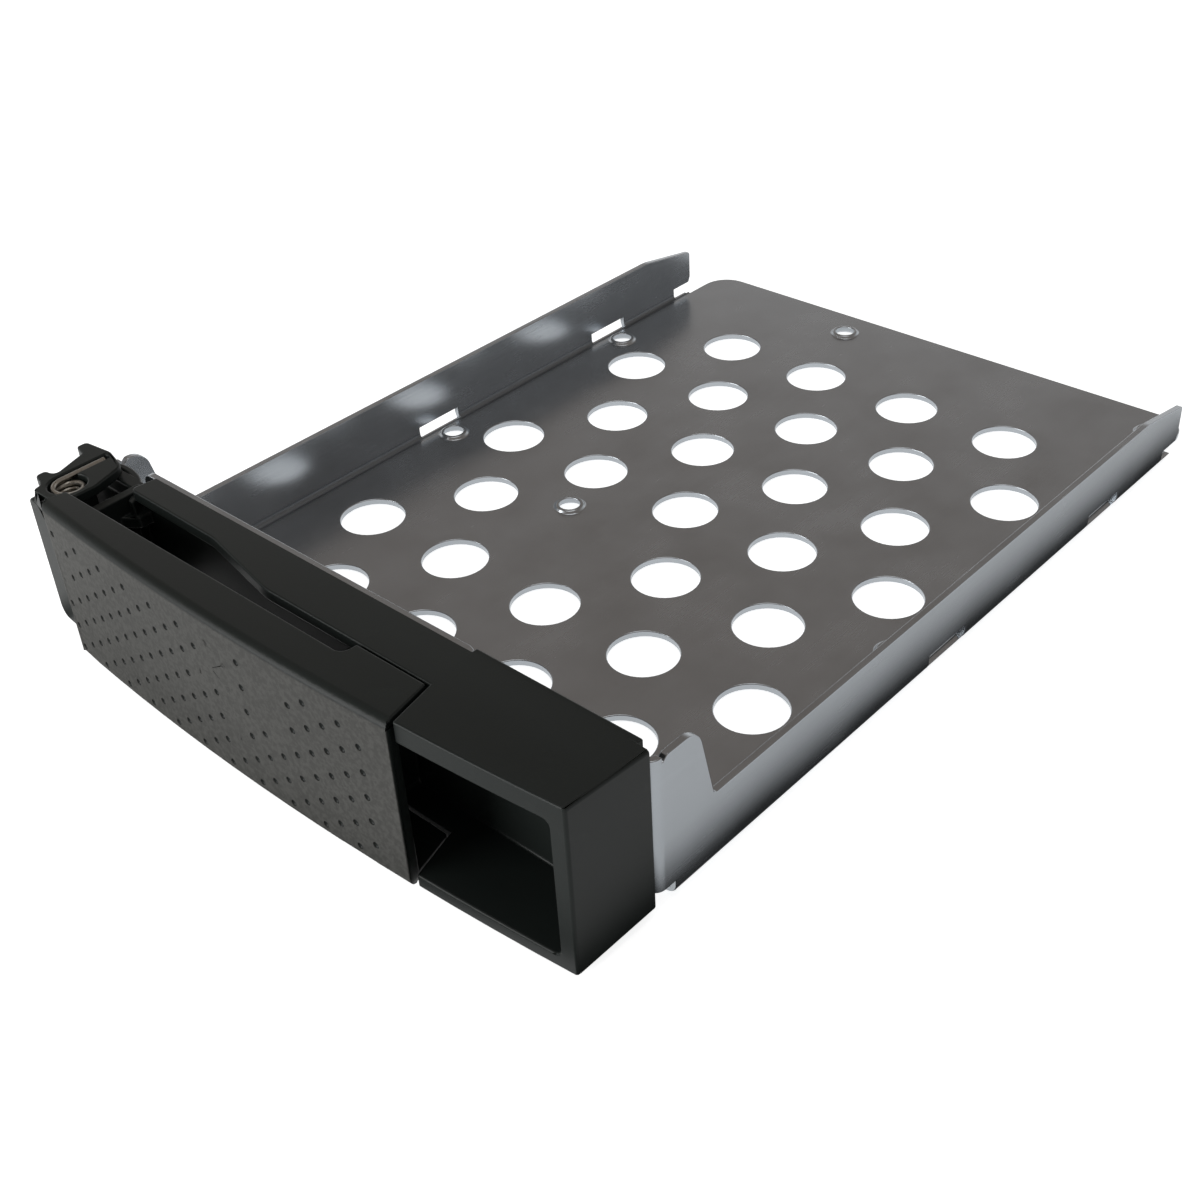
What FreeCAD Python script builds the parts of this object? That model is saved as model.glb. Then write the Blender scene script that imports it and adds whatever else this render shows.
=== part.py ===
import FreeCAD
import Part
import math
import os

# Hot swap drive caddy for one 3.5 inch or 2.5 inch drive.
# Millimetres. X runs to the right, Y to the rear and Z up, with X = 0 on the centre line and Z = 0 on
# the underside of the pan. Everything is drawn with Y = 0 at the face that the front of a 3.5 inch
# drive stops against, and is written out with Y = 0 moved back to the middle of the four holes for
# a 3.5 inch drive.

V = FreeCAD.Vector

# ---- folded steel pan
sheet = 1.0
pan_width = 104.3
pan_rear = 139.8
pan_rear_corner = 5.0
fold_radius = 1.8                  # outside radius of every fold
wall_height = 11.3
wall_end = 130.6
wall_end_round = 1.0
wall_drop_start = 118.0            # the top edge of a wall falls from here to its rear end
wall_drop = 2.2
tab_height = 23.0
tab_start = 1.8
tab_notch = 0.7                    # depth and half width of the notch between tab and ear
tab_top_end = 7.3
tab_top_end_left = 4.7             # the left tab is shorter
tab_slope = 2.6                    # how much further back the slope meets the top of the wall
tab_round = 3.0
corner_relief = 2.6                # cut-out where three folds meet
fold_height = 23.1                 # the upright folds stand higher than the ears
ear_width = 6.35                   # flat part of an ear, up to its fold
flange_height = 25.3
flange_left_inset = 7.95           # ends of the flange to the ends of the floor
flange_right_inset = 7.15
flange_step_back = 4.0             # the flange is lower from here on, left of the lever's right end
flange_low_height = 21.6

# ---- round air holes, rows of four and five by turns
air_hole_diameter = 10.5
air_pitch_x = 19.3
air_pitch_y = 16.27
air_first_row = 18.4
air_rows = 7
air_skipped = (2, 1)               # row and place left out for a drive screw

# ---- drive screw holes
drive_end = 147.2                  # connector end of both kinds of drive
big_drive_pattern = (95.25, 44.45)
big_drive_rear_hole = 41.28        # rear pair to the connector end
small_drive_pattern = (61.72, 76.60)
small_drive_rear_hole = 14.0
small_drive_centre_x = 15.45
screw_hole_radius = 1.7
boss_rise = 0.5
boss_base_radius = 2.6
boss_top_radius = 2.2
countersink_radius = 2.45
fold_slot_length = 9.2
fold_slot_bottom = 0.7             # the fold stays whole below this
fold_slot_top = 2.9
rear_slot_start = 125.6

# ---- front moulding and lever
block_width = 24.15                # right end of the front, beside the lever
seam_lean = 2.4                    # how far the seam leans to the left on its way back
seam_opening = 0.5                 # width of the seam
front_radius = 500.0
front_apex = -17.2
front_bottom = 0.9
front_top_rear = 25.5
front_top_rise = 0.083             # rise of the top face for each millimetre forward
edge_round = 0.5
seam_gap = 0.3
lever_proud = 0.8
lever_skin = 2.0
lever_flange = 1.6
lever_round = 1.4
pad_past_pivot = 3.0               # the dotted pad starts this far right of the pivot
stile_past_pivot = 4.3             # the stile ends this far left of the pivot
stile_setback = 1.5
stile_skin = 1.3
stile_bottom = 3.2
stile_top = 23.7
stile_round = 1.9
lever_flange_rear = -11.5
lever_flange_rear_right = -9.0
slot_from_seam = 14.8              # right end of the slot to the right end of the lever

bezel_skin = 1.8
rear_wall = 2.0
bezel_deck_front = -8.7
slot_taper_start = -5.0
slot_taper_end = -20.0
bezel_deck_front_left = -5.2
pocket_past_pivot = 8.9            # the bezel's top and bottom plates start this far right of the pivot
recess_top_border = 3.2
recess_bottom_border = 2.0
recess_side_border = 2.4
recess_behind_lever = 12.0          # how far the recess runs on behind the lever
recess_back = -5.0
recess_corner = 1.0
lip_from_seam = 3.7

# ---- hinge
pivot_inset = 3.95                 # pivot to the outside of the pan
pivot_y = -9.6
pin_radius = 1.25
pin_running_gap = 0.05
pin_head_radius = 1.6
pin_head_height = 0.6
post_radius = 2.8
web_width = 4.4
claw_thickness = 1.6
claw_length = 9.0                  # pivot to the rear edge of the claws
claw_plan = (                      # corners (x, y, radius) about the pivot, in parts of claw_length
    (-0.30, -0.31, 0.09),
    (-0.44, -0.23, 0.09),
    (-0.63, -0.18, 0.08),
    (-0.63, 0.0, 0.08),
    (-0.41, 0.045, 0.09),
    (-0.63, 0.67, 0.09),
    (-0.89, 0.745, 0.055),
    (-0.89, 0.933, 0.09),
    (-0.31, 1.0, 0.22),
    (0.22, 0.867, 0.28),
    (0.42, 0.245, 0.28))
lug_plan = (                       # the lower lug keeps clear of the pan all through the swing
    (-0.47, -0.29, 0.17),
    (-0.47, 0.33, 0.28),
    (0.42, 0.38, 0.28))
lug_bottom = 3.6                   # underside of the lower hinge lug
claw_gap = 0.4                     # under and over the claws
cup_floor = 1.4
cup_depth = 2.8
cup_wall = 0.7
guard_radius = 9.9                 # curved wall of the bezel round the back of the hinge
guard_wall = 1.1
guard_lip = 1.3                    # thickness of the part of the guard above the ear
guard_overhang = 1.3               # how far the guard reaches back over the ear
side_gap = 0.4                     # left end of the bezel to the outside of the pan

# ---- torsion spring
wire = 0.8
peg_width = 1.6
spring_radius = 2.05
spring_pitch = 0.9
spring_turns = 2.25
spring_gap = 0.3
spring_leg_claw = 7.4
spring_leg_bezel = 7.2

# ---- friction catch inside the bezel
catch_x = 6.0
catch_thickness = 1.6
catch_height = 7.0
catch_back = -5.6
catch_gap = 0.5
tongue_thickness = 1.2
tongue_front = -9.6

# ---- bezel screws
bezel_screw_inset = 4.65           # to the outside of the pan
bezel_screw_z = (8.6, 17.0)
bezel_screw_radius = 1.2
bezel_screw_head_radius = 2.2
bezel_screw_length = 4.0
bezel_screw_tip = 0.3              # left free at the bottom of each screw hole
bezel_screw_gap = 0.1
driver_slot = 0.55
driver_depth = 0.7
boss_wall = 1.3
driver_arm = 1.35

# ---- derived
written_origin_y = drive_end - big_drive_rear_hole - big_drive_pattern[1] / 2
half_width = pan_width / 2
fold_inside = fold_radius - sheet
floor_edge = half_width - fold_radius
ear_inner = floor_edge - ear_width
flange_left = -floor_edge + flange_left_inset
flange_right = floor_edge - flange_right_inset
seam_x = half_width - block_width
seam_rear_x = seam_x - seam_lean
flange_step = seam_x - flange_step_back
slot_right = seam_x - slot_from_seam
recess_left = seam_x - recess_behind_lever
lip_left = seam_x - lip_from_seam
pivot_x = -half_width + pivot_inset
lever_pad_left = pivot_x + pad_past_pivot
lever_left = pivot_x - stile_past_pivot
pocket_right = pivot_x + pocket_past_pivot
bezel_screw_x = half_width - bezel_screw_inset
bezel_back = -sheet
reach = 300.0                      # longer than anything here, for cutting
middle_z = (front_bottom + front_top_rear) / 2
claw_top_z = front_top_rear - claw_thickness
cup_radius = spring_radius + wire / 2 + spring_gap
knuckle_radius = cup_radius + cup_wall
cup_bottom = front_top_rear - cup_depth - cup_floor
post_top = cup_bottom - claw_gap / 2
post_bottom = lug_bottom + claw_thickness + claw_gap / 2
guard_top = claw_top_z - claw_gap
ear_height = guard_top - guard_lip - seam_gap


# ---------------------------------------------------------------- drawing helpers

def flat(a, b):
    """A point of a plan drawing."""
    return V(a, b, 0)


def side(a, b):
    """A point of a side drawing: Y across, Z up."""
    return V(0, a, b)


def front(a, b):
    """A point of a front drawing: X across, Z up."""
    return V(a, 0, b)


def outline(corners, view):
    """Face inside (a, b, radius) corners, each one rounded by its own radius."""
    points = [V(a, b, 0) for a, b, radius in corners]
    runs = []
    for index, corner in enumerate(corners):
        here = points[index]
        back = points[index - 1] - here
        ahead = points[(index + 1) % len(points)] - here
        back.normalize()
        ahead.normalize()
        radius = corner[2]
        if radius == 0:
            runs.append((here, None, here))
            continue
        half = back.getAngle(ahead) / 2
        start = here + back * (radius / math.tan(half))
        end = here + ahead * (radius / math.tan(half))
        inward = (back + ahead).normalize()
        middle = here + inward * (radius / math.sin(half) - radius)
        runs.append((start, middle, end))
    edges = []
    for index, (start, middle, end) in enumerate(runs):
        if middle:
            arc = Part.Arc(view(start.x, start.y), view(middle.x, middle.y), view(end.x, end.y))
            edges.append(arc.toShape())
        following = runs[(index + 1) % len(runs)][0]
        if (following - end).Length > 1e-6:
            edges.append(Part.makeLine(view(end.x, end.y), view(following.x, following.y)))
    return Part.Face(Part.Wire(edges))


def plate(corners, low, high):
    """Flat plate of a plan outline between two heights."""
    face = outline(corners, flat)
    face.translate(V(0, 0, low))
    return face.extrude(V(0, 0, high - low))


def slab(corners, left, right):
    """Plate of a side outline between two places along X."""
    face = outline(corners, side)
    face.translate(V(left, 0, 0))
    return face.extrude(V(right - left, 0, 0))


def block(x, y, z):
    """Box from three (low, high) pairs."""
    return Part.makeBox(x[1] - x[0], y[1] - y[0], z[1] - z[0], V(x[0], y[0], z[0]))


def rod(radius, centre, low, high):
    """Upright cylinder."""
    return Part.makeCylinder(radius, high - low, V(centre[0], centre[1], low))


def mirrored(shape):
    """The same shape on the other side of the centre line."""
    return shape.mirror(V(0, 0, 0), V(1, 0, 0))


def joined(shapes):
    """One solid from shapes that meet or overlap."""
    return shapes[0].multiFuse(shapes[1:]).removeSplitter()


# ---------------------------------------------------------------- pan

def fold(across, along, length):
    """Quarter-round fold between a floor edge and an upright, drawn at the origin.

    The floor ends at (0, 0) and the upright goes up from there; across points out of the floor
    and along is the direction that the fold runs in."""
    up = V(0, 0, 1)
    outer = V(0, 0, 0)
    bend = across * fold_radius + up * fold_radius
    diagonal = math.sqrt(0.5)
    centre = up * fold_radius
    inner_start = up * sheet
    inner_end = across * fold_inside + centre
    outer_middle = centre + (across - up) * (fold_radius * diagonal)
    inner_middle = centre + (across - up) * (fold_inside * diagonal)
    edges = [
        Part.Arc(outer, outer_middle, bend).toShape(),
        Part.makeLine(bend, inner_end),
        Part.Arc(inner_end, inner_middle, inner_start).toShape(),
        Part.makeLine(inner_start, outer),
    ]
    return Part.Face(Part.Wire(edges)).extrude(along * length)


def pan_wall(top_end):
    """Right wall with its fold to the floor; its front tab is flat on top as far back as top_end."""
    corners = [
        (fold_radius - sheet, fold_radius, 0),
        (wall_end - wall_end_round, fold_radius, 0),
        (wall_end, fold_slot_top + wall_end_round, wall_end_round),
        (wall_end, wall_height - wall_drop, wall_end_round / 2),
        (wall_drop_start, wall_height, wall_drop * 4),
        (top_end + tab_slope, wall_height, tab_notch),
        (top_end, tab_height, tab_round),
        (tab_start, tab_height, tab_notch),
        (tab_start - tab_notch, tab_height - tab_notch, 0),
        (fold_radius - sheet, tab_height - tab_notch, 0),
    ]
    upright = slab(corners, half_width - sheet, half_width)
    bend = fold(V(1, 0, 0), V(0, 1, 0), wall_end - wall_end_round)
    bend.translate(V(floor_edge, 0, 0))
    wall = upright.fuse(bend)
    wall = wall.cut(block((0, reach), (-reach, corner_relief), (-reach, corner_relief)))
    for slot in fold_slots():
        wall = wall.cut(slot)
    return wall.fuse(pan_ear())


def pan_ear():
    """Ear turned in from the front of the right wall, with its upright fold."""
    centre = (floor_edge, fold_inside)
    bend = rod(fold_radius, centre, corner_relief, fold_height)
    bend = bend.cut(rod(fold_inside, centre, 0, reach))
    bend = bend.common(block((floor_edge, half_width), (-sheet, fold_inside), (0, reach)))
    corners = [
        (ear_inner, corner_relief, tab_notch),
        (floor_edge, corner_relief, 0),
        (floor_edge, ear_height, 0),
        (ear_inner, ear_height, wall_end_round),
    ]
    leaf = outline(corners, front).extrude(V(0, -sheet, 0))
    return leaf.fuse(bend)


def pan_flange():
    """Upright flange across the front of the floor."""
    corners = [
        (flange_left, fold_radius, 0),
        (flange_right, fold_radius, 0),
        (flange_right, flange_low_height, 1.5),
        (flange_step, flange_low_height, 0.8),
        (flange_step, flange_height, 1.0),
        (flange_left, flange_height, 1.8),
    ]
    upright = outline(corners, front).extrude(V(0, -sheet, 0))
    bend = fold(V(0, -1, 0), V(1, 0, 0), flange_right - flange_left)
    bend.translate(V(flange_left, fold_radius - sheet, 0))
    return upright.fuse(bend)


def drive_holes():
    """Centres of the eight screw holes: four for each kind of drive."""
    centres = []
    for pattern, rear_hole, middle in (
            (big_drive_pattern, big_drive_rear_hole, 0.0),
            (small_drive_pattern, small_drive_rear_hole, small_drive_centre_x)):
        rear_y = drive_end - rear_hole
        for x in (middle - pattern[0] / 2, middle + pattern[0] / 2):
            for y in (rear_y - pattern[1], rear_y):
                centres.append((x, y))
    return centres


def air_holes():
    """Centres of the staggered air holes."""
    centres = []
    for row in range(air_rows):
        count = 4 + row % 2
        for place in range(count):
            if (row, place) != air_skipped:
                x = (place - (count - 1) / 2) * air_pitch_x
                centres.append((x, air_first_row + row * air_pitch_y))
    return centres


def fold_slots():
    """Slots in the right fold beside the drive holes, and the open one at the rear."""
    slots = []
    rear_y = drive_end - big_drive_rear_hole
    for y in (rear_y - big_drive_pattern[1], rear_y):
        slots.append((y - fold_slot_length / 2, y + fold_slot_length / 2))
    slots.append((rear_slot_start, reach))
    return [block((floor_edge + fold_inside / 2, reach), (low, high), (fold_slot_bottom, fold_slot_top))
            for low, high in slots]


def make_pan():
    floor = plate([
        (-floor_edge, corner_relief, 0),
        (flange_left, corner_relief, 0.6),
        (flange_left, fold_radius - sheet, 0),
        (flange_right, fold_radius - sheet, 0),
        (flange_right, corner_relief, 0.6),
        (floor_edge, corner_relief, 0),
        (floor_edge, pan_rear, pan_rear_corner),
        (-floor_edge, pan_rear, pan_rear_corner)], 0, sheet)
    pan = joined([floor, pan_wall(tab_top_end), mirrored(pan_wall(tab_top_end_left)), pan_flange()])
    raised = []
    removed = []
    for x, y in drive_holes():
        raised.append(Part.makeCone(boss_base_radius, boss_top_radius, boss_rise, V(x, y, sheet)))
        removed.append(rod(screw_hole_radius, (x, y), -sheet, sheet + boss_rise * 2))
        sink = sheet + boss_rise - screw_hole_radius / 2
        removed.append(Part.makeCone(countersink_radius, screw_hole_radius, sink, V(x, y, 0)))
    for x, y in air_holes():
        removed.append(rod(air_hole_diameter / 2, (x, y), -sheet, sheet * 2))
    return joined([pan] + raised).cut(Part.makeCompound(removed))


# ---------------------------------------------------------------- front body

def side_corners(inset, rear):
    """Side drawing of the front body, drawn smaller by inset at top and bottom."""
    nose = front_apex - 2.0
    top_rear = front_top_rear - inset
    top_nose = top_rear + front_top_rise * (bezel_back - nose)
    top_at_rear = top_rear + front_top_rise * (bezel_back - rear)
    return [
        (rear, front_bottom + inset, 0),
        (rear, top_at_rear, 0),
        (nose, top_nose, 0),
        (nose, front_bottom + inset, 0),
    ]


def bow(proud, low, high):
    """Large upright cylinder whose front is the bowed front face."""
    return rod(front_radius + proud, (0, front_apex + front_radius), low, high)


def front_body(left, right, proud, rear, inset=0.0):
    """Solid with the bowed front and the sloping top between two places along X."""
    return slab(side_corners(inset, rear), left, right).common(bow(proud, 0, reach))


def deck_outline(left):
    """Plan of the bezel's top and bottom plates behind the slot."""
    return [
        (left, bezel_back, 0),
        (left, bezel_deck_front_left, 1.0),
        (slot_taper_end, bezel_deck_front_left - 0.3, 12.0),
        (slot_taper_start, bezel_deck_front, 12.0),
        (seam_rear_x, bezel_deck_front, 0),
        (seam_rear_x, bezel_back, 0),
    ]


def beside_seam(shift, far_x):
    """Everything in front of the bezel's top plate on one side of the leaning seam."""
    rear = (seam_rear_x + shift, bezel_deck_front)
    ahead = (rear[0] + 2 * seam_lean, rear[1] + 2 * (front_apex - bezel_deck_front))
    return plate([(rear[0], rear[1], 0), (ahead[0], ahead[1], 0), (far_x, ahead[1], 0), (far_x, rear[1], 0)],
                 -reach, reach)


def bezel_shell():
    """Right block with the finger recess, and the plates and rear wall behind the lever."""
    right_block = front_body(seam_rear_x, half_width, 0.0, bezel_back)
    rounded = [edge for edge in right_block.Edges
               if edge.BoundBox.XMin > half_width - 0.01 and edge.BoundBox.YMin < bezel_back - 1]
    right_block = right_block.makeFillet(edge_round, rounded).cut(beside_seam(0, -reach))
    lip = block((lip_left, half_width - fold_radius), (bezel_back, bezel_back + sheet),
                (flange_low_height + seam_gap, front_top_rear))
    behind_lever = front_body(pocket_right, seam_rear_x, 0.0, bezel_back)
    deck = behind_lever.common(plate(deck_outline(pocket_right), 0, reach))
    hollow = front_body(pocket_right - 1, recess_left - bezel_skin, 0.0, bezel_back - rear_wall, bezel_skin)
    deck = deck.cut(hollow)
    left_wall = block((-half_width + side_gap, pocket_right), (bezel_back - rear_wall, bezel_back),
                      (post_bottom, guard_top))
    shell = joined([right_block, lip, deck, left_wall])
    return shell.cut(finger_recess())


def finger_recess():
    """Space for a finger, open at the front and running on behind the end of the lever."""
    low = front_bottom + recess_bottom_border
    high = front_top_rear - recess_top_border + front_top_rise * (bezel_back - front_apex)
    corners = [
        (recess_left, low, recess_corner),
        (half_width - recess_side_border, low, recess_corner),
        (half_width - recess_side_border, high, recess_corner),
        (recess_left, high, recess_corner),
    ]
    face = outline(corners, front)
    face.translate(V(0, recess_back, 0))
    return face.extrude(V(0, -reach, 0))


def hinge_guard():
    """Curved wall round the back of the hinge; above the ear of the pan it reaches back over it."""
    centre = (pivot_x, pivot_y)
    ring = rod(guard_radius, centre, post_bottom, guard_top).cut(rod(guard_radius - guard_wall, centre, 0, reach))
    in_front = block((-half_width + side_gap, pocket_right), (bezel_deck_front_left, bezel_back),
                     (post_bottom, guard_top))
    over_ear = block((-floor_edge + seam_gap, pocket_right), (bezel_back - rear_wall, bezel_back + guard_overhang),
                     (ear_height + seam_gap, guard_top))
    in_front = in_front.cut(block((flange_left - seam_gap, 0), (bezel_back, reach), (0, reach)))
    return ring.common(in_front.fuse(over_ear))


def hinge_post():
    """Upright post for the pin, with the web that carries it."""
    post = rod(post_radius, (pivot_x, pivot_y), post_bottom, post_top)
    web = block((pivot_x - web_width / 2, pivot_x + web_width / 2), (pivot_y, bezel_back - rear_wall / 2),
                (post_bottom, post_top))
    parts = [post, web]
    for low in (post_bottom, post_top - bezel_skin):
        parts.append(plate([
            (pivot_x - post_radius, pivot_y + 1.0, 0),
            (pivot_x + post_radius, pivot_y, 0),
            (pocket_right + 0.5, bezel_deck_front_left, 1.0),
            (pocket_right + 0.5, bezel_back - rear_wall / 2, 0),
            (-half_width + side_gap, bezel_back - rear_wall / 2, 0),
            (-half_width + side_gap, bezel_deck_front_left, 1.0)], low, low + bezel_skin))
    return parts


def catch_tongues():
    """Two thin tongues that grip the blade on the back of the lever."""
    offset = catch_thickness / 2 + catch_gap
    tongues = []
    for side_sign in (-1, 1):
        inner = catch_x + side_sign * offset
        outer = inner + side_sign * tongue_thickness
        tongues.append(block((min(inner, outer), max(inner, outer)), (tongue_front, bezel_back - rear_wall / 2),
                             (middle_z - catch_height / 2 - 1.0, middle_z + catch_height / 2 + 1.0)))
    return tongues


def screw_bosses():
    """Solid pads for the bezel screws on the inside of the rear wall, at the left end."""
    back = bezel_back - rear_wall / 2
    front_end = bezel_back - bezel_screw_length - boss_wall
    return [Part.makeCylinder(bezel_screw_head_radius + boss_wall / 2, back - front_end,
                              V(-bezel_screw_x, front_end, z), V(0, 1, 0)) for z in bezel_screw_z]


def screw_places():
    return [(x, z) for x in (-bezel_screw_x, bezel_screw_x) for z in bezel_screw_z]


def spring_peg():
    """Peg that the spring's lower leg bears on."""
    left = pivot_x + spring_leg_bezel - peg_width
    leg_back = pivot_y - spring_radius + wire / 2
    return block((left, left + peg_width), (leg_back + spring_gap, bezel_back - rear_wall / 2),
                 (post_top - bezel_skin, spring_low_z() + wire))


def make_bezel():
    parts = [bezel_shell(), hinge_guard(), spring_peg()] + hinge_post() + catch_tongues() + screw_bosses()
    bezel = joined(parts)
    holes = [rod(pin_radius + pin_running_gap / 2, (pivot_x, pivot_y), 0, reach)]
    for x, z in screw_places():
        holes.append(Part.makeCylinder(bezel_screw_radius + pin_running_gap,
                                       bezel_screw_length + bezel_screw_tip - sheet,
                                       V(x, bezel_back, z), V(0, -1, 0)))
    return bezel.cut(Part.makeCompound(holes))


# ---------------------------------------------------------------- lever

def about_pivot(plan):
    """Corners of a hinge plate: its plan about the pivot, with its root in the face of the lever."""
    root_y = lever_flange_rear - lever_skin
    corners = [(lever_pad_left + lever_skin / 2, root_y, 0), (lever_left + lever_flange, root_y, lever_skin / 3)]
    for x, y, radius in plan:
        corners.append((pivot_x + x * claw_length, pivot_y + y * claw_length, radius * claw_length))
    corners.append((pivot_x + plan[-1][0] * claw_length, lever_flange_rear - lever_skin / 4, 0))
    return corners


def lever_shell():
    """Bowed face with a flange along its top and its bottom."""
    pad = front_body(lever_pad_left, seam_x, lever_proud, lever_flange_rear_right)
    rounded = [edge for edge in pad.Edges
               if edge.BoundBox.YMax < lever_flange_rear and edge.BoundBox.XMin < slot_right]
    pad = pad.makeFillet(lever_round, rounded)
    hollow = front_body(-reach, reach, lever_proud, lever_flange_rear_right + lever_skin, lever_flange)
    hollow = hollow.common(bow(lever_proud - lever_skin, 0, reach))
    shell = pad.cut(hollow)
    notch = plate([
        (-reach, lever_flange_rear, 0),
        (slot_right, lever_flange_rear, lever_flange * 0.75),
        (slot_right, 0, 0),
        (-reach, 0, 0)], 0, reach)
    return shell.cut(notch).cut(beside_seam(-seam_opening, reach))


def lever_stile():
    """Smooth upright margin at the left end of the lever, in front of the hinge post."""
    stile = front_body(lever_left, lever_pad_left + lever_skin / 2, lever_proud - stile_setback, lever_flange_rear)
    stile = stile.cut(bow(lever_proud - stile_setback - stile_skin, 0, reach))
    corners = [
        (lever_left, stile_bottom, stile_round),
        (lever_pad_left + lever_skin / 2, stile_bottom, 0),
        (lever_pad_left + lever_skin / 2, stile_top, 0),
        (lever_left, stile_top, stile_round / 2),
    ]
    keep = outline(corners, front)
    keep.translate(V(0, reach / 2, 0))
    return stile.common(keep.extrude(V(0, -reach, 0)))


def make_lever():
    lug = plate(about_pivot(lug_plan), lug_bottom, lug_bottom + claw_thickness)
    claw = plate(about_pivot(claw_plan), claw_top_z, front_top_rear)
    cup = rod(knuckle_radius, (pivot_x, pivot_y), cup_bottom, front_top_rear)
    catch = block((catch_x - catch_thickness / 2, catch_x + catch_thickness / 2),
                  (front_apex + lever_skin / 2, catch_back),
                  (middle_z - catch_height / 2, middle_z + catch_height / 2))
    lever = joined([lever_shell(), lever_stile(), lug, claw, cup, catch])
    return lever.cut(Part.makeCompound(lever_cuts()))


def lever_cuts():
    """Bore for the pin, cup for the spring, its grooves, and the tapered nose of the catch."""
    centre = (pivot_x, pivot_y)
    leg_x = pivot_x - spring_radius
    room = wire / 2 + spring_gap
    low_leg_y = pivot_y - spring_radius
    groove = block((leg_x - room, leg_x + room), (pivot_y, pivot_y + spring_leg_claw + room),
                   (spring_high_z() - room, reach))
    window = block((pivot_x, pivot_x + spring_leg_bezel + room), (low_leg_y - room, low_leg_y + room),
                   (spring_low_z() - room, spring_low_z() + room))
    return [
        rod(pin_radius + pin_running_gap, centre, 0, reach),
        rod(cup_radius, centre, cup_bottom + cup_floor, reach),
        groove,
        window,
    ]


# ---------------------------------------------------------------- pin, spring and screws

def make_pin():
    """Headed pin, pressed into the post."""
    centre = (pivot_x, pivot_y)
    head_bottom = cup_bottom + cup_floor + pin_running_gap
    shank = rod(pin_radius, centre, lug_bottom, head_bottom + pin_head_height)
    head = rod(pin_head_radius, centre, head_bottom, head_bottom + pin_head_height)
    return joined([shank, head])


def spring_high_z():
    return front_top_rear - wire / 2


def spring_low_z():
    return spring_high_z() - spring_turns * spring_pitch


def make_spring():
    """Coil about the pin with one straight leg along the claws and one behind the lever's face."""
    low = spring_low_z()
    high = spring_high_z()
    helix = Part.makeHelix(spring_pitch, high - low, spring_radius)
    section = Part.Wire(Part.makeCircle(wire / 2, V(spring_radius, 0, 0), V(0, 1, 0)))
    coil = Part.Wire(helix.Edges).makePipeShell([section], True, True)
    coil.rotate(V(0, 0, 0), V(0, 0, 1), -90)
    coil = mirrored(coil)
    coil.translate(V(pivot_x, pivot_y, low))
    low_end = V(pivot_x, pivot_y - spring_radius, low)
    high_end = V(pivot_x - spring_radius, pivot_y, high)
    low_leg = Part.makeCylinder(wire / 2, spring_leg_bezel, low_end, V(1, 0, 0))
    high_leg = Part.makeCylinder(wire / 2, spring_leg_claw, high_end, V(0, 1, 0))
    elbows = [Part.makeSphere(wire / 2, point) for point in (low_end, high_end)]
    return coil.multiFuse([low_leg, high_leg] + elbows)


def make_screw(x, z):
    """Flat-head screw seated in an ear, with a cross slot."""
    head = Part.makeCone(bezel_screw_head_radius, bezel_screw_radius, sheet, V(x, 0, z), V(0, -1, 0))
    shank = Part.makeCylinder(bezel_screw_radius, bezel_screw_length, V(x, 0, z), V(0, -1, 0))
    screw = head.fuse(shank)
    for wide, tall in ((driver_arm, driver_slot / 2), (driver_slot / 2, driver_arm)):
        screw = screw.cut(block((x - wide, x + wide), (-driver_depth, 1), (z - tall, z + tall)))
    return screw


def ear_countersinks():
    """Countersunk holes for the bezel screws."""
    cuts = []
    for x, z in screw_places():
        cuts.append(Part.makeCone(bezel_screw_head_radius + bezel_screw_gap, bezel_screw_radius + bezel_screw_gap,
                                  sheet, V(x, 0, z), V(0, -1, 0)))
    return Part.makeCompound(cuts)


def main():
    os.makedirs("parts", exist_ok=True)
    shapes = {
        "tray_pan": make_pan().cut(ear_countersinks()),
        "bezel": make_bezel(),
        "lever": make_lever(),
        "hinge_pin": make_pin(),
        "lever_spring": make_spring(),
    }
    for number, (x, z) in enumerate(screw_places(), start=1):
        shapes["bezel_screw_%d" % number] = make_screw(x, z)
    for name, shape in shapes.items():
        solid = shape.Solids[0]
        solid.translate(V(0, -written_origin_y, 0))
        print(name, round(solid.Volume, 1), solid.isValid())
        solid.exportStep("parts/%s.step" % name)


main()
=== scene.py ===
import math

import bmesh
import bpy
from bpy.props import FloatProperty, FloatVectorProperty, IntProperty, PointerProperty
from bpy.types import Operator, Panel, PropertyGroup
from mathutils import Matrix, Vector
from mathutils.bvhtree import BVHTree


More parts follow.
